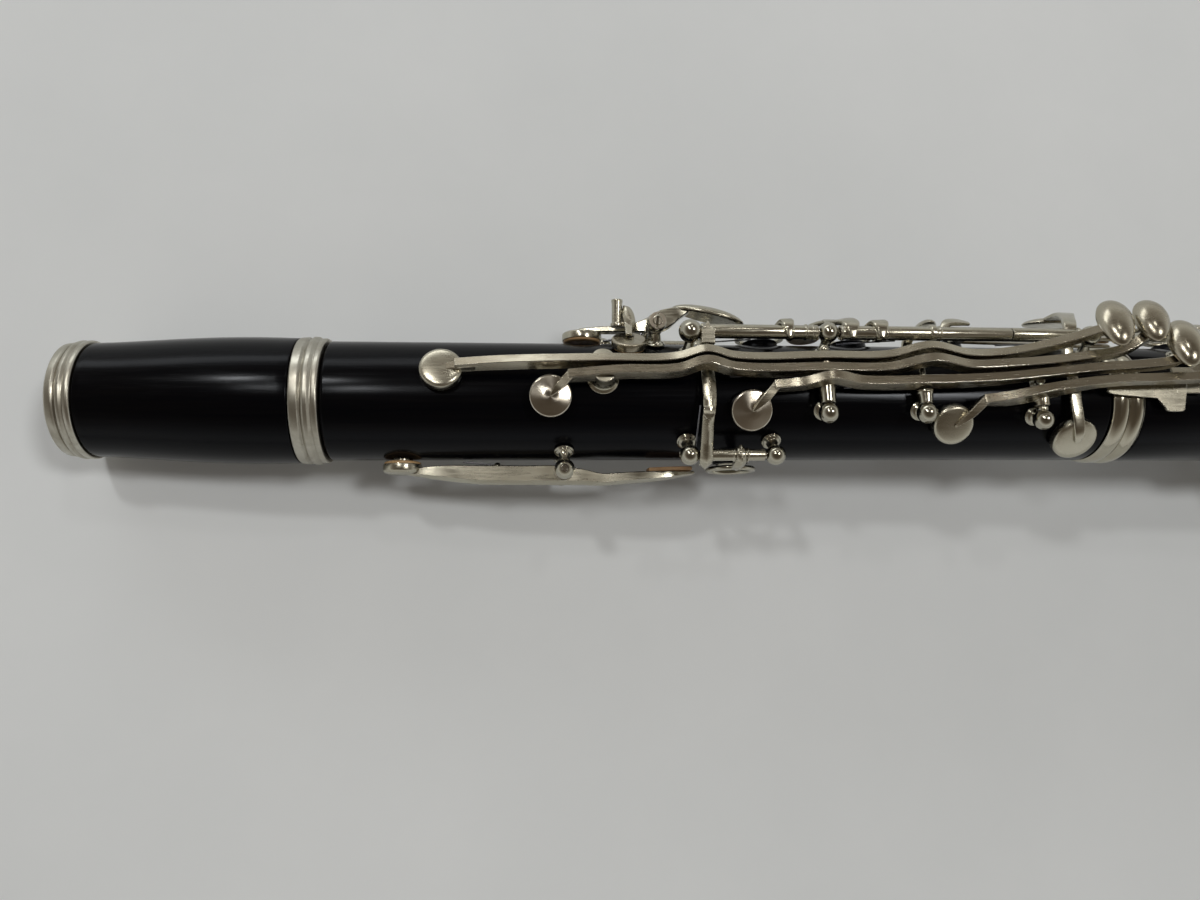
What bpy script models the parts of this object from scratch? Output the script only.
"""Boehm-system clarinet without its mouthpiece, lying on its left side: barrel, upper joint,
lower joint and bell, with every key on its own hinge.

Frame: +X runs down the bore from the barrel towards the bell, +Y is the front (the tone-hole side),
+Z is the player's right-hand side, where the four side keys are. The origin is on the bore's axis
half-way down the instrument. Dimensions are in millimetres, with x counted from the barrel's top
end; node() moves and scales them to the frame as meshes are made.

A point is given as (x, r, phi): x down the bore, r out from the bore's axis, and phi the angle from
+Z (right side, 0) towards +Y (front, 90); the back is -90 and the left side 180. A place on the
body is (x, phi).
"""
import bpy
import bmesh
from math import sin, cos, radians, pi
from mathutils import Vector, Matrix

MM = 0.001

# ---- driving dimensions, in mm --------------------------------------------------------------
BARREL_LENGTH = 61.75
UPPER_LENGTH = 197.2            # visible length, shoulder to shoulder
LOWER_LENGTH = 230.0
BELL_LENGTH = 108.0
GAP = 0.3                       # clearance between neighbouring pieces
BORE_R = 7.4
UPPER_R = 14.9                  # outside radius of the upper joint
LOWER_R = 15.2                  # outside radius of the lower joint
TENON_R = 10.7
TENON_LENGTH = 16.0
GROOVE_R = 9.9                  # floor of the cork grooves in the upper joint's tenons
SOCKET_R = 11.3
BELL_TENON_R = 12.3
BELL_GROOVE_R = 11.5
BELL_SOCKET_R = 12.9
BELL_SOCKET_DEPTH = 22.0
BELL_RIM_R = 39.5
BELL_WALL = 3.6
BALL_R = 2.5                    # post heads
SMALL_BALL_R = 1.45             # far ends of the side-key hinges, tucked under the bars
ROD_R = 0.85                    # hinge rods
TUBE_R = 1.95                   # key tubes on the hinge rods
SLIM_TUBE_R = 1.8
TUBE_BORE = 1.25
CUP_R = 5.1                     # small pad cups
PAD_R = 4.2
PAD_THICKNESS = 1.35
PAD_DROP = 0.55                 # how far a pad's face stands below its cup's rim
LEVER_W = 2.2                   # side-key bars, across
LEVER_D = 2.9                   # side-key bars, depth
BODY_SEG = 18                   # facets round the wooden bodies
BELL_SEG = 24

UPPER_TOP = BARREL_LENGTH + GAP         # top shoulder of the upper joint
LOWER_TOP = UPPER_TOP + UPPER_LENGTH
UPPER_END = LOWER_TOP - GAP             # bottom shoulder of the upper joint
LOWER_END = LOWER_TOP + LOWER_LENGTH
BELL_TOP = LOWER_END + GAP
BELL_END = BELL_TOP + BELL_LENGTH
HALF = BELL_END / 2                     # x of the frame's origin

UPPER_FOOT = UPPER_R + 0.15 + GAP       # radius at which the post feet stand
LOWER_FOOT = LOWER_R + GAP
UPPER_RIM = UPPER_R + 0.95              # radius of the open rims of the closed cups
LOWER_RIM = LOWER_R + 0.95

FRONT = Vector((0, 1, 0))
BACK = Vector((0, -1, 0))
DOWN_BORE = Vector((1, 0, 0))

# Places (x, phi) of the holes, which their cups and rings share
REGISTER_HOLE = (79.8, -90)
THROAT_A_HOLE = (125.0, 90)
THROAT_G_SHARP_HOLE = (134.0, 57)
THUMB_HOLE = (163.2, -90)
LEFT_FIRST_HOLE = (172.0, 90)
RING_CUP_HOLE = (184.2, 92)             # under the cup of the left second ring key
LEFT_SECOND_HOLE = (196.0, 90)
LEFT_SLIVER_HOLE = (209.0, 158)
LEFT_THIRD_HOLE = (222.5, 90)
C_SHARP_HOLE = (248.2, -36)
RIGHT_FINGER_X = (288.0, 309.0, 333.0)  # the right-hand finger holes, all at the front
RIGHT_FINGER_HOLES = [(x, 90) for x in RIGHT_FINGER_X]
RIGHT_SLIVER_HOLE = (338.0, -26)
RIGHT_RING_CUP_HOLE = (350.0, 78)
F_SHARP_HOLE = (396.0, 100)
A_FLAT_HOLE = (404.0, -22)
F_C_HOLE = (420.0, 74)
E_B_HOLE = (450.0, 66)

for scene_object in list(bpy.data.objects):
    bpy.data.objects.remove(scene_object, do_unlink=True)


# ---- materials ------------------------------------------------------------------------------
def material(name, colour, roughness, metallic):
    mat = bpy.data.materials.new(name)
    mat.use_nodes = True
    inputs = mat.node_tree.nodes["Principled BSDF"].inputs
    inputs["Base Color"].default_value = (*colour, 1)
    inputs["Roughness"].default_value = roughness
    inputs["Metallic"].default_value = metallic
    return mat


WOOD = material("blackwood", colour=(0.012, 0.011, 0.012), roughness=0.38, metallic=0.0)
SILVER = material("nickel_silver", colour=(0.55, 0.52, 0.46), roughness=0.28, metallic=1.0)
RINGS = material("worn_nickel", colour=(0.50, 0.49, 0.44), roughness=0.36, metallic=1.0)
PAD = material("pad_skin", colour=(0.55, 0.38, 0.2), roughness=0.7, metallic=0.0)
CORK = material("cork", colour=(0.5, 0.32, 0.18), roughness=0.85, metallic=0.0)


# ---- placing --------------------------------------------------------------------------------
def radial(phi):
    angle = radians(phi)
    return Vector((0, sin(angle), cos(angle)))


def at(x, r, phi):
    return Vector((x, 0, 0)) + radial(phi) * r


def lengthwise(x0, x1, r, phi):
    """The two ends of a hinge line parallel to the bore."""
    return at(x0, r, phi), at(x1, r, phi)


def shifted(start, profile):
    """A profile whose x is counted from start."""
    return [(start + x, r) for x, r in profile]


def per_point(value, count):
    """A list as it is, or one value repeated for every point."""
    return value if isinstance(value, list) else [value] * count


# ---- solids ---------------------------------------------------------------------------------
def finish(bm):
    bmesh.ops.remove_doubles(bm, verts=bm.verts, dist=1e-5)
    bmesh.ops.recalc_face_normals(bm, faces=bm.faces)
    return bm


def loft(bm, loops):
    """Join neighbouring loops of vertices with quads and cap the first loop."""
    count = len(loops[0])
    for a, b in zip(loops, loops[1:]):
        for k in range(count):
            bm.faces.new((a[k], a[(k + 1) % count], b[(k + 1) % count], b[k]))
    bm.faces.new(loops[0][::-1])


def turned(profile, origin=(0, 0, 0), axis=DOWN_BORE, seg=BODY_SEG):
    """A closed turned solid: profile is (along, radius) points, spun about the axis.
    Points on the axis close the ends; a profile that stays off the axis makes a ring."""
    bm = bmesh.new()
    verts = [bm.verts.new((r, 0, along)) for along, r in profile]
    is_ring = all(r > 1e-6 for _, r in profile)
    count = len(verts)
    for i in range(count if is_ring else count - 1):
        bm.edges.new((verts[i], verts[(i + 1) % count]))
    bmesh.ops.spin(bm, geom=bm.verts[:] + bm.edges[:], cent=(0, 0, 0), axis=(0, 0, 1),
                   angle=2 * pi, steps=seg, use_merge=True, use_duplicate=False)
    turn = Vector(axis).normalized().to_track_quat("Z", "Y").to_matrix().to_4x4()
    bmesh.ops.transform(bm, matrix=Matrix.Translation(Vector(origin)) @ turn, verts=bm.verts)
    return finish(bm)


def rod(start, end, r, seg=8):
    start, end = Vector(start), Vector(end)
    length = (end - start).length
    return turned([(0, 0), (0, r), (length, r), (length, 0)], start, end - start, seg)


def sweep(points, width, depth, ups=None):
    """A bar of rectangular section through the points: depth runs along the local 'up'.
    width, depth and ups are each one value or a list; up is radial where none is given."""
    points = [Vector(p) for p in points]
    count = len(points)
    widths, depths, ups = (per_point(value, count) for value in (width, depth, ups))
    bm = bmesh.new()
    loops = []
    for i, p in enumerate(points):
        tangent = (points[min(i + 1, count - 1)] - points[max(i - 1, 0)]).normalized()
        up = ups[i] or Vector((0, p.y, p.z))
        up = (up - tangent * up.dot(tangent)).normalized()
        side = tangent.cross(up)
        loops.append([bm.verts.new(p + side * (a * widths[i] / 2) + up * (b * depths[i] / 2))
                      for a, b in ((-1, -1), (1, -1), (1, 1), (-1, 1))])
    loft(bm, loops)
    bm.faces.new(loops[-1])
    return finish(bm)


def arm(points, width, depth):
    """sweep() through points given as (x, r, phi)."""
    return sweep([at(*p) for p in points], width, depth)


def touch(centre, normal, long_dir, half_length, half_width, height, seg=12):
    """Oval touch, flat underneath and domed on top, its length along long_dir."""
    rows = 3                    # steps up the dome
    normal = Vector(normal).normalized()
    u = Vector(long_dir)
    u = (u - normal * u.dot(normal)).normalized()
    v = normal.cross(u)
    # height above the centre, scale of the oval
    levels = [(-0.35 * height, 0.80), (0.0, 1.0)]
    levels += [(height * sin(pi / 2 * k / rows), cos(pi / 2 * k / rows) ** 0.8)
               for k in range(1, rows)]
    bm = bmesh.new()
    loops = []
    for z, scale in levels:
        loops.append([bm.verts.new(Vector(centre)
                                   + u * (half_length * scale * cos(2 * pi * i / seg))
                                   + v * (half_width * scale * sin(2 * pi * i / seg))
                                   + normal * z) for i in range(seg)])
    loft(bm, loops)
    top = bm.verts.new(Vector(centre) + normal * height)
    for i in range(seg):
        bm.faces.new((loops[-1][i], loops[-1][(i + 1) % seg], top))
    return finish(bm)


def shell_band(x0, x1, phi0, phi1, r0, r1, steps=6):
    """A strip bent round the body: x0..x1 long, phi0..phi1 round, r0..r1 thick."""
    bm = bmesh.new()
    loops = []
    for i in range(steps + 1):
        phi = phi0 + (phi1 - phi0) * i / steps
        loops.append([bm.verts.new(at(x, r, phi))
                      for x, r in ((x0, r0), (x1, r0), (x1, r1), (x0, r1))])
    loft(bm, loops)
    bm.faces.new(loops[-1])
    return finish(bm)


# ---- named pieces ---------------------------------------------------------------------------
def to_object(bm, name):
    mesh = bpy.data.meshes.new(name)
    bm.to_mesh(mesh)
    bm.free()
    obj = bpy.data.objects.new(name, mesh)
    bpy.context.scene.collection.objects.link(obj)
    return obj


def boolean(obj, tools, operation):
    """Apply one exact boolean per tool, then remove the tools."""
    for tool in tools:
        modifier = obj.modifiers.new("b", "BOOLEAN")
        modifier.operation = operation
        modifier.solver = "EXACT"
        modifier.object = tool
    bpy.context.view_layer.update()
    evaluated = obj.evaluated_get(bpy.context.evaluated_depsgraph_get())
    mesh = bpy.data.meshes.new_from_object(evaluated)
    obj.modifiers.clear()
    obj.data = mesh
    for tool in tools:
        bpy.data.objects.remove(tool, do_unlink=True)


def node(name, solids, mat, cuts=(), origin=None):
    """One named piece: the solids joined and the cuts taken away, moved and scaled to the frame.
    origin is the point that becomes the object's own origin."""
    base = to_object(solids[0], name)
    if len(solids) > 1:
        boolean(base, [to_object(s, "join") for s in solids[1:]], "UNION")
    if cuts:
        boolean(base, [to_object(c, "cut") for c in cuts], "DIFFERENCE")
    base.data.transform(Matrix.Scale(MM, 4) @ Matrix.Translation((-HALF, 0, 0)))
    if origin is not None:
        location = (Vector(origin) - Vector((HALF, 0, 0))) * MM
        base.data.transform(Matrix.Translation(-location))
        base.location = location
    base.data.materials.clear()
    base.data.materials.append(mat)
    base.data.shade_smooth()
    base.data.set_sharp_from_angle(angle=radians(32))


# ---- parts of the bodies --------------------------------------------------------------------
def chimney(place, base_r, height, r):
    """Low raised rim round a finger hole, rooted at base_r."""
    x, phi = place
    profile = [(0, 0), (0, r), (height, r - 0.2), (height, 0)]
    return turned(profile, at(x, base_r, phi), radial(phi), 12)


def cork_ring(name, start, end, inner_r, edge_r, outer_r):
    chamfer = 0.7
    node(name, [turned([(start, inner_r), (start, edge_r), (start + chamfer, outer_r),
                        (end - chamfer, outer_r), (end, edge_r), (end, inner_r)])], CORK)


# ---- parts of the keys ----------------------------------------------------------------------
def post(centre, foot_r, ball):
    """A ball-headed post square to the body, from its flanged foot at foot_r to its ball."""
    normal = Vector((0, centre.y, centre.z))
    height = normal.length - foot_r
    normal.normalize()
    foot = Vector((centre.x, 0, 0)) + normal * foot_r
    flange_r, neck_r = min(1.9, ball - 0.2), min(1.4, ball * 0.75)
    profile = [(0, 0), (0, flange_r), (0.6, flange_r), (1.0, neck_r),
               (max(height - ball * 0.86, 1.05), neck_r)]
    profile += [(height + ball * sin(t), ball * cos(t)) for t in (-0.1, 0.8)]
    profile += [(height + ball, 0)]
    return turned(profile, foot, normal, 7)


def hinge(name, balls, foot_r, last_ball=BALL_R):
    """Two or more posts and the rod that runs through them, as one piece."""
    solids = [post(b, foot_r, BALL_R) for b in balls[:-1]] + [post(balls[-1], foot_r, last_ball)]
    step = (balls[-1] - balls[0]).normalized()
    solids.append(rod(balls[0] + step * 1.0, balls[-1] - step * 1.0, ROD_R))
    node(name, solids, SILVER)


def tube(line, r=TUBE_R):
    """Key tube that fills a hinge line between its two balls."""
    near, far = line
    trim = (far - near).normalized() * (BALL_R + 0.35)
    return rod(near + trim, far - trim, r)


def hinged_key(name, line, solids):
    """A key bored for the rod of its hinge line, with its origin half-way along the line."""
    near, far = line
    overrun = (far - near).normalized() * 3
    bore = rod(near - overrun, far + overrun, TUBE_BORE)
    node(name, solids, SILVER, [bore], origin=(near + far) / 2)


def cup(place, rim, r=CUP_R, height=2.3, peak=1.1, seg=10, facing=None):
    """Pad cup, pointed on top, with the recess its pad sits in. rim is the radius of its open
    rim, and facing the angle it looks to if that isn't its own phi."""
    x, phi = place
    profile = [(1.1, 0), (1.1, r - 0.45), (0, r - 0.45), (0, r), (height, r - 0.1),
               (height + peak, 0)]
    return turned(profile, at(x, rim, phi), radial(phi if facing is None else facing), seg)


def pad(name, place, rim, r=PAD_R):
    """Felt pad, its face below the cup's rim and its back clear of the cup's floor."""
    x, phi = place
    normal = radial(phi)
    profile = [(0, 0), (0, r - 0.2), (PAD_THICKNESS, r), (PAD_THICKNESS, 0)]
    node(name, [turned(profile, at(x, rim, phi) - normal * PAD_DROP, normal, 10)], PAD)


def ring_hoop(place, mid_r, outer=6.5, inner=5.1):
    """Ring round a finger hole, its mid-plane mid_r from the bore's axis."""
    x, phi = place
    half = 1.3 / 2
    profile = [(-half, inner), (-half, outer), (half, outer), (half, inner)]
    return turned(profile, at(x, mid_r, phi), radial(phi), 14)


# ---- barrel ---------------------------------------------------------------------------------
def barrel_r(x):
    """Outside radius of the barrel: slim at the top, fullest three-quarters of the way down."""
    t = (x - 6.0) / (BARREL_LENGTH - 12.7)
    return 13.9 + 1.85 * sin(min(max(t, 0), 1) * pi * 0.62) ** 1.35


bottom_step = BARREL_LENGTH - 6.9
socket_floor = BARREL_LENGTH - TENON_LENGTH - 1.5
outer = [(0, 12.5), (6.2, 12.5)]
outer += [(x, barrel_r(x)) for x in (6.2, 14, 22, 30, 38, 45, 51, bottom_step)]
outer += [(bottom_step, 12.9), (BARREL_LENGTH, 12.9)]
inner = [(BARREL_LENGTH, SOCKET_R), (socket_floor, SOCKET_R), (socket_floor, BORE_R),
         (18.0, BORE_R), (18.0, 11.2), (0, 11.2)]
node("barrel", [turned(outer + inner)], WOOD)
node("barrel_top_ring", [turned([
    (0, 12.8), (0, 13.4), (0.5, 13.9), (2.0, 13.9), (2.4, 13.5), (3.2, 14.45), (4.0, 14.3),
    (5.9, 14.35), (5.9, 12.8)])], RINGS)
node("barrel_bottom_ring", [turned(shifted(BARREL_LENGTH, [
    (-6.6, 13.2), (-6.6, 15.5), (-4.4, 15.8), (-3.9, 15.2), (-2.9, 15.9), (-1.6, 15.5),
    (-0.3, 15.3), (0, 14.9), (0, 13.2)]))], RINGS)

# ---- upper joint ----------------------------------------------------------------------------
outer = shifted(UPPER_TOP - TENON_LENGTH, [(0, TENON_R - 0.6), (0.8, TENON_R)])
outer += shifted(UPPER_TOP, [
    (-12.6, TENON_R), (-12.6, GROOVE_R), (-3.4, GROOVE_R), (-3.4, TENON_R), (0, TENON_R),
    (0, UPPER_R - 0.4), (0.6, UPPER_R)])
outer += shifted(UPPER_END, [(-0.4, UPPER_R + 0.15), (0, UPPER_R - 0.3), (0, TENON_R)])
outer += shifted(LOWER_TOP, [
    (3.2, TENON_R), (3.2, GROOVE_R), (14.2, GROOVE_R), (14.2, TENON_R), (17.4, TENON_R),
    (18.2, TENON_R - 0.6)])
inner = [(LOWER_TOP + 18.2, BORE_R), (UPPER_TOP - TENON_LENGTH, BORE_R)]
# (x, phi), hole radius
upper_holes = [
    (REGISTER_HOLE, 1.4), ((90.5, 16), 2.2), ((116.5, -5.6), 2.3), (THROAT_A_HOLE, 2.5),
    (THROAT_G_SHARP_HOLE, 2.5), (THUMB_HOLE, 3.4), (LEFT_FIRST_HOLE, 3.3), ((164.9, -16), 2.6),
    (LEFT_SECOND_HOLE, 3.6), (LEFT_THIRD_HOLE, 3.8), ((216.0, -27), 2.7), (C_SHARP_HOLE, 2.6),
    (LEFT_SLIVER_HOLE, 2.4), (RING_CUP_HOLE, 2.3)]
bores = [rod(at(x, 4.0, phi), at(x, 20.0, phi), r) for (x, phi), r in upper_holes]
chimneys = [chimney(place, 13.6, 2.6, 4.5)
            for place in (THUMB_HOLE, LEFT_FIRST_HOLE, LEFT_SECOND_HOLE, LEFT_THIRD_HOLE)]
node("upper_joint", [turned(outer + inner)] + chimneys, WOOD, bores)
cork_ring("upper_tenon_cork", UPPER_TOP - 12.3, UPPER_TOP - 3.7, 10.2, 10.9, 11.05)
cork_ring("middle_tenon_cork", LOWER_TOP + 3.5, LOWER_TOP + 13.9, 10.2, 10.9, 11.05)

# ---- lower joint ----------------------------------------------------------------------------
outer = shifted(LOWER_TOP, [(0, 13.0), (8.7, 13.0), (8.7, LOWER_R)])
outer += shifted(LOWER_END, [
    (-14, LOWER_R), (-5, 15.9), (0, 16.1), (0, BELL_TENON_R), (4, BELL_TENON_R),
    (4, BELL_GROOVE_R), (16, BELL_GROOVE_R), (16, BELL_TENON_R), (20, BELL_TENON_R),
    (20.8, 11.8)])
inner = shifted(LOWER_END, [(20.8, 10.6), (-60, BORE_R + 0.2)])
inner += shifted(LOWER_TOP, [(19.4, BORE_R), (19.4, SOCKET_R), (0, SOCKET_R)])
# (x, phi), hole radius
lower_holes = list(zip(RIGHT_FINGER_HOLES, (3.8, 4.0, 3.9)))
lower_holes += [
    (RIGHT_RING_CUP_HOLE, 3.0), (RIGHT_SLIVER_HOLE, 2.8), (A_FLAT_HOLE, 4.2),
    (F_SHARP_HOLE, 4.6), (F_C_HOLE, 5.4), (E_B_HOLE, 5.8)]
BORE_TURN = 0.7                 # the bores are turned this many degrees from their places
bores = [rod(at(x, 3.1, phi + BORE_TURN), at(x, 21.0, phi + BORE_TURN), r, 9)
         for (x, phi), r in lower_holes]
chimneys = [chimney(place, 14.0, 2.4, 4.8) for place in RIGHT_FINGER_HOLES]
node("lower_joint", [turned(outer + inner)] + chimneys, WOOD, bores)
node("lower_joint_socket_ring", [turned(shifted(LOWER_TOP, [
    (0, 13.3), (0, 14.9), (0.5, 15.4), (3.9, 15.5), (4.3, 15.1), (5.0, 15.75), (7.8, 15.75),
    (8.4, 15.3), (8.4, 13.3)]))], RINGS)
cork_ring("bell_tenon_cork", LOWER_END + 4.3, LOWER_END + 15.7, 11.8, 12.45, 12.65)


# ---- bell -----------------------------------------------------------------------------------
def bell_r(x):
    """Outside radius of the bell: a shallow waist below the socket, then a flare to the rim."""
    t = (x - BELL_TOP) / BELL_LENGTH
    waist = 1.6 * sin(min(t / 0.45, 1) * pi)
    return 17.4 - waist + (BELL_RIM_R - 18.6) * max(0, (t - 0.28) / 0.72) ** 2.6


outer = [(BELL_TOP, 14.4), (BELL_TOP + 6.7, 14.4)]
outer += [(BELL_TOP + x, bell_r(BELL_TOP + x)) for x in (6.7, 15, 25, 38, 52, 66, 78, 88, 97)]
outer += [(BELL_END - 3.4, bell_r(BELL_END - 4)), (BELL_END - 3.4, BELL_RIM_R - 2.4),
          (BELL_END, BELL_RIM_R - 2.4)]
inner = [(BELL_END, 35.2)]
inner += [(BELL_TOP + x, bell_r(BELL_TOP + x) - BELL_WALL) for x in (99, 89, 76, 62)]
inner += shifted(BELL_TOP, [(50, 12.6), (BELL_SOCKET_DEPTH, 11.0),
                            (BELL_SOCKET_DEPTH, BELL_SOCKET_R), (0, BELL_SOCKET_R)])
node("bell", [turned(outer + inner, seg=BELL_SEG)], WOOD)
node("bell_top_ring", [turned(shifted(BELL_TOP, [
    (0, 14.8), (0, 16.6), (0.5, 17.2), (3.0, 17.4), (3.4, 16.9), (4.2, 17.7), (6.4, 17.5),
    (6.4, 14.8)]))], RINGS)
# (x from the bell's end, r from the rim radius)
rim_profile = [(-3.1, -2.1), (-3.1, -0.6), (-2.2, 0), (-0.6, 0), (0, -0.6), (0, -2.1)]
node("bell_rim_ring", [turned([(BELL_END + x, BELL_RIM_R + r) for x, r in rim_profile],
                              seg=BELL_SEG)], RINGS)


# ---- side keys: long bars that rock on cross hinges -----------------------------------------
def side_key(number, line, cup_place, path, neck, oval, tube_span, depth=LEVER_D):
    """path is the middle of the bar's outer face as (x, r, phi, psi), the face looking to psi;
    neck is the short arm from bar to cup, oval the touch, and tube_span the stretch of the
    hinge line, from its near post, that the key's tube covers."""
    bar = sweep([at(x, r, phi) - radial(psi) * (d / 2)
                 for (x, r, phi, psi), d in zip(path, per_point(depth, len(path)))],
                LEVER_W, depth, [radial(psi) for *_, psi in path])
    near, far = line
    step = (far - near).normalized()
    start, end = tube_span
    name = f"side_key_{number}"
    hinged_key(name, line, [
        bar, cup(cup_place, UPPER_RIM), arm(neck, 2.2, 1.8),
        rod(near + step * start, near + step * end, SLIM_TUBE_R, 10), oval])
    pad(name + "_pad", cup_place, UPPER_RIM)


# Keys 1 and 2 share a hinge. A bar that crosses another key's hinge is bent up over it.
side_line_12 = (at(183.4, 19.5, -17.0), at(183.4, 19.6, 31.8))
side_line_3 = (at(208.0, 19.5, -17.0), at(208.0, 19.6, 33.5))
side_line_4 = (at(238.0, 19.5, -21.5), at(238.0, 18.1, 9.0))
hinge("side_keys_1_2_posts", side_line_12, UPPER_FOOT, SMALL_BALL_R)
hinge("side_key_3_posts", side_line_3, UPPER_FOOT, SMALL_BALL_R)
hinge("side_key_4_posts", side_line_4, UPPER_FOOT, last_ball=1.3)

TOUCH_ACROSS = Vector((-0.25, sin(radians(108)), cos(radians(108))))  # length of the touches
side_key(
    1, side_line_12, (90.5, 16.0),
    path=[(94.0, 20.3, 17.0, 24), (104, 20.8, 18.6, 26), (128, 21.0, 20.8, 28),
          (147, 21.3, 22.0, 28), (153.7, 22.9, 24.8, 28), (160, 21.5, 22.8, 28),
          (183.4, 21.3, 24.0, 28), (199, 21.9, 23.8, 28), (209, 24.0, 27.0, 28),
          (219, 22.6, 24.2, 28), (229, 23.0, 24.8, 28), (240, 25.0, 28.0, 30),
          (254.0, 28.0, 34.0, 30)],
    neck=[(98.0, 19.2, 17.0), (94.0, 18.8, 16.5), (90.5, 18.5, 16.0)],
    oval=touch(at(255.2, 28.2, 35.6), radial(18), TOUCH_ACROSS, 5.7, 4.4, 2.5),
    tube_span=(12.2, 14.0))
side_key(
    2, side_line_12, (116.3, -5.6),
    path=[(120.5, 20.6, 9.2, 18), (133, 21.0, 12.2, 20), (147, 21.2, 13.4, 20),
          (153.5, 22.8, 17.0, 20), (160, 21.4, 14.6, 20), (183.4, 21.2, 14.9, 20),
          (199, 21.8, 14.8, 20), (209, 23.9, 18.2, 20), (219, 22.6, 15.6, 20),
          (229, 22.9, 16.4, 21), (240, 23.2, 18.6, 22), (250, 23.6, 21.8, 24),
          (258, 24.0, 25.4, 26), (262, 25.2, 29.0, 28), (265, 27.0, 34.0, 30)],
    neck=[(121.5, 19.4, 9.0), (119.0, 19.0, 2.5), (116.3, 18.6, -5.0)],
    oval=touch(at(265.0, 27.6, 36.6), radial(18), TOUCH_ACROSS, 5.6, 4.3, 2.5),
    tube_span=(9.2, 11.7))
side_key(
    3, side_line_3, (164.9, -16.1),
    path=[(170, 20.6, 2.6, 12), (177, 21.0, 4.4, 14), (184, 22.9, 7.3, 16),
          (191, 21.4, 5.6, 16), (208, 21.6, 6.0, 16), (226, 22.0, 8.0, 17),
          (240, 22.8, 10.8, 18), (252, 23.5, 14.0, 18), (263, 24.0, 16.4, 20),
          (271.5, 25.2, 21.4, 20)],
    depth=[2.6, 2.9, 2.9, 2.9, 3.4, 2.8, 2.0, 2.4, 2.4, 2.2],
    neck=[(171.0, 19.3, 1.8), (168.4, 19.0, -6.5), (164.9, 18.6, -15.6)],
    oval=touch(at(274.2, 25.9, 26.6), radial(10), TOUCH_ACROSS, 5.8, 4.3, 2.5),
    tube_span=(6.0, 9.4))
side_key(
    4, side_line_4, (216.0, -27.3),
    path=[(222.5, 20.4, -6.4, 4), (229, 21.4, -4.4, 6), (238, 22.3, -2.6, 8),
          (247, 22.6, 1.2, 10), (256, 22.9, 5.2, 12), (268, 23.2, 6.8, 12),
          (280, 23.8, 8.4, 14), (289, 25.2, 12.4, 18)],
    depth=[2.6, 3.6, 4.4, 3.2, 2.6, 2.4, 2.4, 2.2],
    neck=[(223.5, 19.3, -6.6), (220.0, 19.0, -16), (216.0, 18.6, -26.6)],
    oval=touch(at(291.5, 25.3, 15.0), radial(4), TOUCH_ACROSS, 6.0, 4.4, 2.5),
    tube_span=(3.4, 7.6))

# guide that keeps the two long side keys in line: a saddle with an ear on each side
GUIDE_X = 129.1
node("trill_key_guide", [
    shell_band(126.6, 131.6, -1.5, 33.5, UPPER_FOOT, UPPER_FOOT + 1.2),
    sweep([at(GUIDE_X, 15.8, 0.2), at(GUIDE_X, 20.0, 1.6)], [4.6, 3.6], 1.4, FRONT),
    sweep([at(GUIDE_X, 15.8, 32.0), at(GUIDE_X, 18.9, 32.6)], [4.6, 3.6], 1.4, FRONT)], SILVER)

# ---- register key: rocks on a cross hinge at the back ---------------------------------------
register_line = (Vector((119.9, -18.2, 9.6)), Vector((119.9, -18.2, -9.6)))
hinge("register_key_posts", register_line, UPPER_FOOT)
# x, y, width, depth of the lever, which lies in the plane z = 0
register_lever = [
    (79.8, -18.3, 2.2, 1.4), (88, -18.25, 4.2, 3.2), (100, -18.85, 5.0, 4.6),
    (111, -19.0, 5.2, 4.6), (119.9, -19.05, 5.6, 4.6), (126, -19.6, 5.0, 3.6),
    (134, -20.1, 6.2, 2.2), (145, -19.3, 7.2, 1.5), (152.5, -18.4, 4.2, 1.0)]
hinged_key("register_key", register_line, [
    sweep([(x, y, 0) for x, y, _, _ in register_lever],
          [width for _, _, width, _ in register_lever],
          [depth for _, _, _, depth in register_lever], BACK),
    cup(REGISTER_HOLE, UPPER_RIM, CUP_R - 0.3, 2.1, 0.9),
    tube(register_line)])
pad("register_key_pad", REGISTER_HOLE, UPPER_RIM, PAD_R - 0.3)

# ---- thumb ring key: a hoop at the back and an arm round the right side to the front --------
thumb_line = lengthwise(150.0, 171.3, 20.6, -48.2)
hinge("thumb_ring_posts", thumb_line, UPPER_FOOT)
hinged_key("thumb_ring_key", thumb_line, [
    tube(thumb_line, SLIM_TUBE_R),
    ring_hoop(THUMB_HOLE, 17.6),
    arm([(164.2, 20.6, -50), (164.0, 20.6, -58), (163.6, 19.4, -66), (163.3, 18.6, -72)],
        2.6, 1.4),
    arm([(153.7, 20.8, -52), (153.7, 20.9, -42), (153.7, 19.2, -27), (153.7, 18.0, -10),
         (153.7, 17.2, 6), (153.9, 17.0, 24), (154.2, 17.0, 46), (154.2, 17.1, 55)],
        [3, 3, 3, 3, 3, 2.4, 1.9, 1.9], 1.3)])

# ---- throat keys ----------------------------------------------------------------------------
throat_a_line = (Vector((143.2, 18.6, 9.6)), Vector((143.2, 18.6, -4.4)))
hinge("throat_a_posts", throat_a_line, UPPER_FOOT)
hinged_key("throat_a_key", throat_a_line, [
    sweep([(125.0, 18.6, 0), (130, 19.0, 0.5), (136, 19.6, 1.4), (143.2, 20.2, 2.4),
           (147, 21.4, 2.6), (152.5, 23.4, 2.4)],
          [2.2, 2.6, 2.8, 3.2, 3.0, 3.4], [1.6, 1.8, 2.2, 3.2, 3.4, 2.0], FRONT),
    cup(THROAT_A_HOLE, UPPER_RIM, height=2.2, peak=0.6),
    tube(throat_a_line),
    touch((157.8, 22.5, 2.2), (0.22, 0.97, 0), (1, -0.22, 0), 9.6, 4.2, 2.2)])
pad("throat_a_pad", THROAT_A_HOLE, UPPER_RIM)

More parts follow.
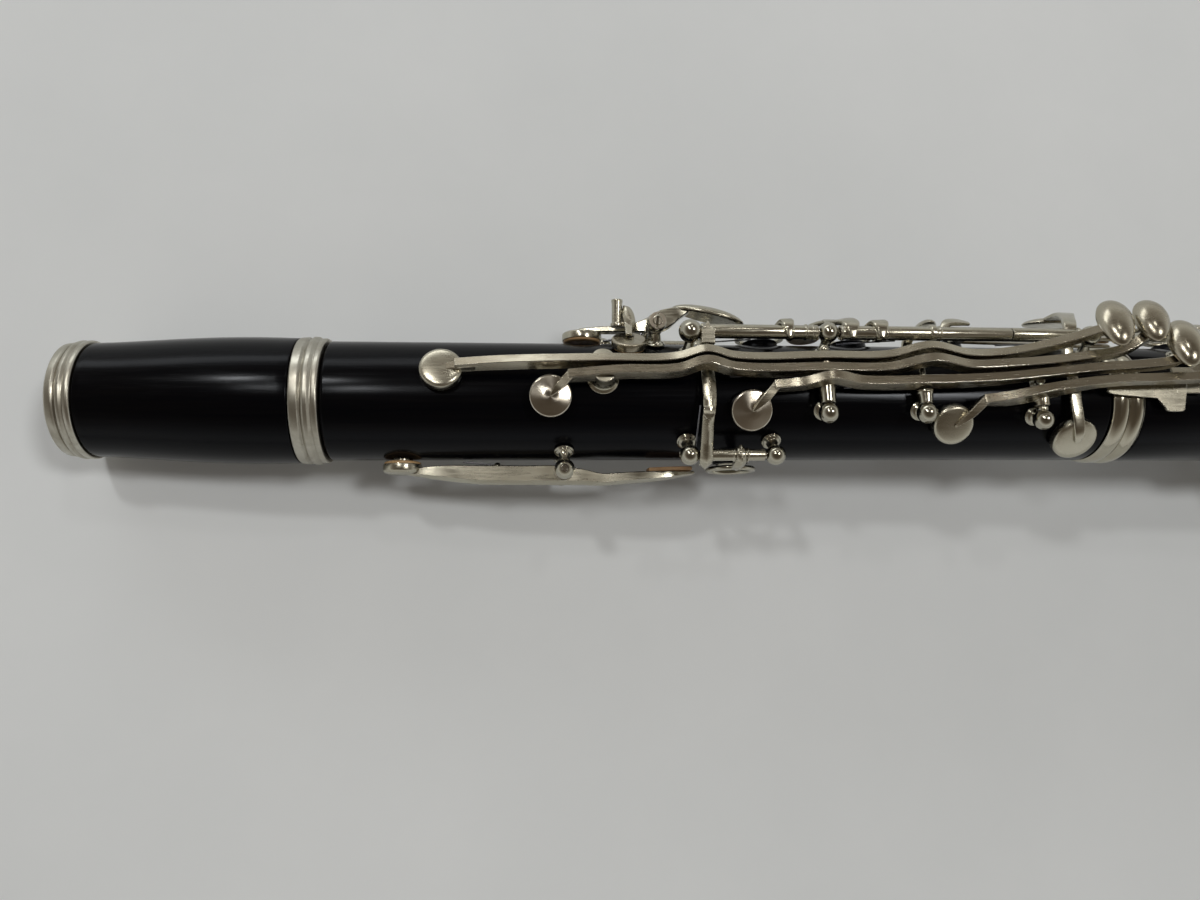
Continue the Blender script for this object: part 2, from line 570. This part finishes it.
# G sharp: a strap arched over the front to the cup, with a stud and its link on the cup's side
g_sharp_line = lengthwise(131.4, 158.0, 20.3, 122)
hinge("throat_g_sharp_posts", g_sharp_line, UPPER_FOOT)
hinged_key("throat_g_sharp_key", g_sharp_line, [
    tube(g_sharp_line),
    sweep([(135.6, 18.6, -10.6), (135.6, 22.6, -8.2), (135.4, 25.4, -3.0), (135.2, 25.6, 2.6),
           (134.8, 22.6, 7.2), (134.2, 19.0, 9.6), (134.0, 15.4, 9.9)],
          [2.8, 2.8, 2.8, 2.8, 2.4, 2.2, 2.2], 1.4,
          [Vector((0, 0, -1)), Vector((0, 1, -1)), FRONT, FRONT, Vector((0, 1, 1)),
           Vector((0, 0.4, 1)), Vector((0, 0.4, 1))]),
    cup(THROAT_G_SHARP_HOLE, UPPER_RIM, height=2.0, peak=0.5),
    rod((132.6, 20.6, 5.6), (132.6, 26.6, 5.6), 1.45),
    sweep([(135.2, 24.4, 3.6), (132.6, 23.4, 5.2)], 2.4, 1.4, FRONT),
    touch(at(152.0, 23.6, 134), radial(130), DOWN_BORE, 6.4, 3.6, 1.6),
    arm([(152.0, 20.8, 124), (152.0, 23.2, 131)], 3.0, 1.6)])

# ---- left-hand ring keys and C sharp key, all on the long rod at the front right ------------
left_top, left_middle, left_meeting, left_end = (
    at(x, 21.9, 42.5) for x in (150.6, 185.0, 232.0, 253.5))
hinge("left_hand_rod_and_posts", [left_top, left_middle, left_end], UPPER_FOOT)
left_first_line = (left_top, left_middle)
hinged_key("left_first_ring_key", left_first_line, [
    tube(left_first_line),
    ring_hoop(LEFT_FIRST_HOLE, 17.2),
    arm([(174.5, 21.3, 46), (174.0, 21.4, 60), (173.2, 18.2, 71)], 2.8, 1.4),
    arm([(154.6, 21.4, 36), (154.6, 22.6, 46), (154.8, 21.6, 54), (155.0, 20.0, 60)],
        [1.6, 2.6, 2.2, 2.0], [1.2, 2.0, 1.6, 1.2])])

# the next two keys meet with no post between them, so their tubes run on to the meeting point
hinged_key("left_second_ring_key", (left_middle, left_meeting), [
    tube((left_middle, left_meeting + DOWN_BORE * (BALL_R + 0.3))),
    ring_hoop(LEFT_SECOND_HOLE, 18.0),
    arm([(197.5, 21.3, 44), (197.0, 22.4, 56), (196.5, 19.2, 71)], 2.8, 1.4),
    arm([(190.5, 21.3, 44), (190.0, 23.0, 54), (188.0, 21.6, 68), (184.6, 20.0, 84)],
        [2.8, 2.6, 2.2, 2.2], 1.4),
    cup(RING_CUP_HOLE, UPPER_RIM + 1.5, CUP_R - 0.7, 2.0, 0.6),
    arm([(220.8, 20.6, 44), (220.8, 18.6, 52), (221.2, 17.3, 60)], 2.6, 1.4),
    arm([(219.8, 17.3, 60), (228, 17.2, 59), (240, 17.0, 57), (252, 16.6, 56),
         (262.5, 16.8, 56)], 2.4, 1.1)])
hinged_key("c_sharp_key", (left_meeting, left_end), [
    tube((left_meeting - DOWN_BORE * BALL_R, left_end)),
    arm([(244.0, 21.9, 44), (245.5, 23.6, 58), (247.0, 23.6, 74), (247.5, 22.8, 88)],
        [3.0, 3.0, 4.0, 6.0], 1.6),
    touch(at(247.5, 23.0, 96), radial(86), DOWN_BORE, 7.0, 4.6, 1.6),
    arm([(247.4, 20.6, 40), (247.4, 18.0, 31), (247.4, 17.0, 22), (247.6, 16.8, 4),
         (248.0, 17.4, -12), (248.2, 18.4, -26), (248.2, 18.4, -36)],
        [3.0, 3.0, 3.0, 3.0, 3.0, 2.8, 2.2], 1.4),
    cup(C_SHARP_HOLE, UPPER_RIM, height=2.1, peak=0.7)])
pad("c_sharp_pad", C_SHARP_HOLE, UPPER_RIM)

# left-hand sliver key: a slim touch at the front and a cup on the left side
left_sliver_line = lengthwise(204.0, 224.0, 19.8, 126)
hinge("left_sliver_posts", left_sliver_line, UPPER_FOOT)
hinged_key("left_sliver_key", left_sliver_line, [
    tube(left_sliver_line),
    arm([(217.6, 19.9, 126), (217.6, 21.8, 112), (217.8, 21.4, 98)], 2.6, 1.5),
    touch(at(218.0, 21.2, 90), radial(86), (0.2, 0, -0.8), 6.4, 2.4, 1.4, 10),
    arm([(209.2, 19.9, 128), (209.0, 20.2, 142), (209.0, 18.6, 154)], 2.4, 1.5),
    cup(LEFT_SLIVER_HOLE, UPPER_RIM, CUP_R - 0.4, 2.0, 0.7)])

# ---- right-hand ring key: three hoops, a cup, and plates and an arm over the middle joint ---
right_line = lengthwise(280.0, 346.0, 21.5, 43)
hinge("right_hand_rod_and_posts", right_line, LOWER_FOOT)
hoops = [ring_hoop(place, 18.4, 6.8, 5.2) for place in RIGHT_FINGER_HOLES]
hoop_arms = [arm([(x + 1.5, 21.5, 44), (x + 1.0, 22.4, 57), (x + 0.5, 19.4, 71)], 2.8, 1.4)
             for x in RIGHT_FINGER_X]
hinged_key("right_ring_key", right_line, [tube(right_line)] + hoops + hoop_arms + [
    arm([(341.0, 21.5, 44), (344, 22.6, 56), (349.0, 20.8, 72)], 2.6, 1.5),
    cup(RIGHT_RING_CUP_HOLE, LOWER_RIM + 1.5, height=2.0, peak=0.7),
    arm([(285.5, 21.6, 42), (285.0, 19.2, 35), (283.0, 17.4, 27), (281.0, 16.9, 20)], 3.0, 1.3),
    shell_band(272.0, 282.5, -1, 23, 16.3, 17.4, 5),
    shell_band(257.0, 275.0, -7, 3, 16.3, 17.4, 2),
    shell_band(270.4, 276.4, -16, -6, 16.3, 17.4, 2),
    arm([(286.0, 21.8, 45), (285.0, 21.9, 52), (280.0, 20.8, 56.5), (268.0, 19.2, 56.5),
         (258.0, 18.8, 56.5)], 2.6, 1.3)])

# ---- right-hand sliver key ------------------------------------------------------------------
right_sliver_line = lengthwise(316.0, 342.0, 19.8, 4)
hinge("right_sliver_posts", right_sliver_line, LOWER_FOOT)
hinged_key("right_sliver_key", right_sliver_line, [
    tube(right_sliver_line),
    arm([(321.0, 19.6, 6), (321.0, 17.8, 20), (321.0, 17.3, 40), (321.0, 17.3, 62),
         (321.0, 18.2, 76)], 2.4, 1.2),
    touch(at(321.0, 18.7, 84), radial(84), (0.3, 0, -1), 5.0, 2.6, 1.2, 10),
    arm([(338.0, 19.8, 0), (338.0, 20.0, -10), (338.0, 18.8, -24)], 2.6, 1.5),
    cup(RIGHT_SLIVER_HOLE, LOWER_RIM, height=2.0, peak=0.7)])

# ---- right-hand little-finger keys, with the big cups ---------------------------------------
BIG_CUP = dict(height=2.6, peak=1.0, seg=16)
f_c_line = lengthwise(360.0, 432.0, 20.6, 40)
hinge("f_c_rod_and_posts", f_c_line, LOWER_FOOT)
hinged_key("f_c_key", f_c_line, [
    tube(f_c_line),
    arm([(420.0, 21.0, 42), (420.0, 22.6, 54), (420.0, 21.4, 68), (420.0, 20.9, 74)], 3.4, 1.8),
    cup(F_C_HOLE, LOWER_RIM + 2.2, 8.2, facing=70, **BIG_CUP),
    arm([(371.0, 20.8, 42), (370.0, 23.4, 50), (369.0, 24.6, 58)], 3.2, 1.8),
    touch(at(368.5, 25.0, 62), radial(58), (1, 0, 0.12), 6.6, 4.2, 1.8)])

e_b_line = lengthwise(360.0, 464.0, 20.6, 14)
hinge("e_b_rod_and_posts", e_b_line, LOWER_FOOT)
hinged_key("e_b_key", e_b_line, [
    tube(e_b_line),
    arm([(450.0, 21.0, 16), (450.0, 22.8, 30), (450.0, 22.2, 46), (450.0, 21.2, 62)], 3.6, 1.8),
    cup(E_B_HOLE, LOWER_RIM + 2.2, 8.6, facing=62, **BIG_CUP),
    arm([(385.0, 21.0, 16), (385.0, 24.2, 22), (385.0, 25.8, 32)], 3.2, 1.8),
    touch(at(385.0, 26.4, 37), radial(34), (1, 0, 0.1), 6.8, 4.2, 1.8)])

f_sharp_line = lengthwise(362.0, 404.0, 20.6, 140)
hinge("f_sharp_rod_and_posts", f_sharp_line, LOWER_FOOT)
hinged_key("f_sharp_key", f_sharp_line, [
    tube(f_sharp_line),
    arm([(396.0, 21.0, 138), (396.0, 22.0, 124), (396.0, 21.0, 108)], 3.2, 1.8),
    cup(F_SHARP_HOLE, LOWER_RIM + 2.0, 7.2, facing=104, **BIG_CUP),
    arm([(371.0, 21.0, 138), (371.0, 24.0, 122), (371.0, 24.8, 106), (371.0, 24.8, 98)],
        3.0, 1.7),
    touch(at(371.0, 25.2, 96), radial(96), DOWN_BORE, 6.4, 4.2, 1.8)])

# the A flat key rocks on a cross hinge
a_flat_line = (at(384.0, 20.6, -44), at(384.0, 20.6, -4))
hinge("a_flat_posts", a_flat_line, LOWER_FOOT)
hinged_key("a_flat_key", a_flat_line, [
    tube(a_flat_line),
    arm([(366.0, 23.4, -20), (373, 22.8, -22), (384.0, 22.2, -24), (394.0, 20.8, -24),
         (402.0, 19.4, -23)], [2.6, 2.6, 3.0, 2.8, 2.6], [1.6, 2.2, 3.4, 2.4, 1.8]),
    cup(A_FLAT_HOLE, LOWER_RIM, 6.6, **BIG_CUP),
    touch(at(364.0, 23.8, -18), radial(-18), (1, 0, 0.1), 6.8, 4.2, 1.8)])

# ---- left-hand little-finger levers, on three rods down the left side -----------------------
# name, phi of the rod, x of its two ends, x that places the touch
left_levers = [
    ("left_f_c", 128, 300.0, 352.0, 291.0),
    ("left_e_b", 156, 306.0, 356.0, 282.0),
    ("left_f_sharp", 184, 300.0, 352.0, 292.0)]
for name, phi, x0, x1, touch_x in left_levers:
    line = lengthwise(x0, x1, 20.4, phi)
    hinge(name + "_posts", line, LOWER_FOOT)
    hinged_key(name + "_lever", line, [
        tube(line),
        arm([(x0 + 5.5, 20.8, phi - 3), (x0 + 4.6, 23.6, phi - 8), (touch_x + 4, 24.2, phi - 12),
             (touch_x - 3, 23.8, phi - 12)], [2.8, 2.8, 3.4, 3.0], 1.5),
        touch(at(touch_x - 4, 24.2, phi - 12), radial(phi - 11), DOWN_BORE, 6.2, 3.9, 1.6),
        arm([(x1 - 5.5, 20.8, phi - 3), (x1 - 5.0, 22.6, phi - 9), (x1 - 3.0, 22.2, phi - 14)],
            2.8, 1.6)])

# ---- thumb rest: a hooked plate on the back of the lower joint ------------------------------
node("thumb_rest", [
    shell_band(312.0, 338.0, -112, -68, LOWER_FOOT, LOWER_FOOT + 1.5),
    sweep([(330.0, -16.2, 0), (331.5, -21, 0), (334.0, -25.5, 0), (335.0, -29.5, 0)],
          [12, 13, 14, 12], 2.0, DOWN_BORE)], SILVER)
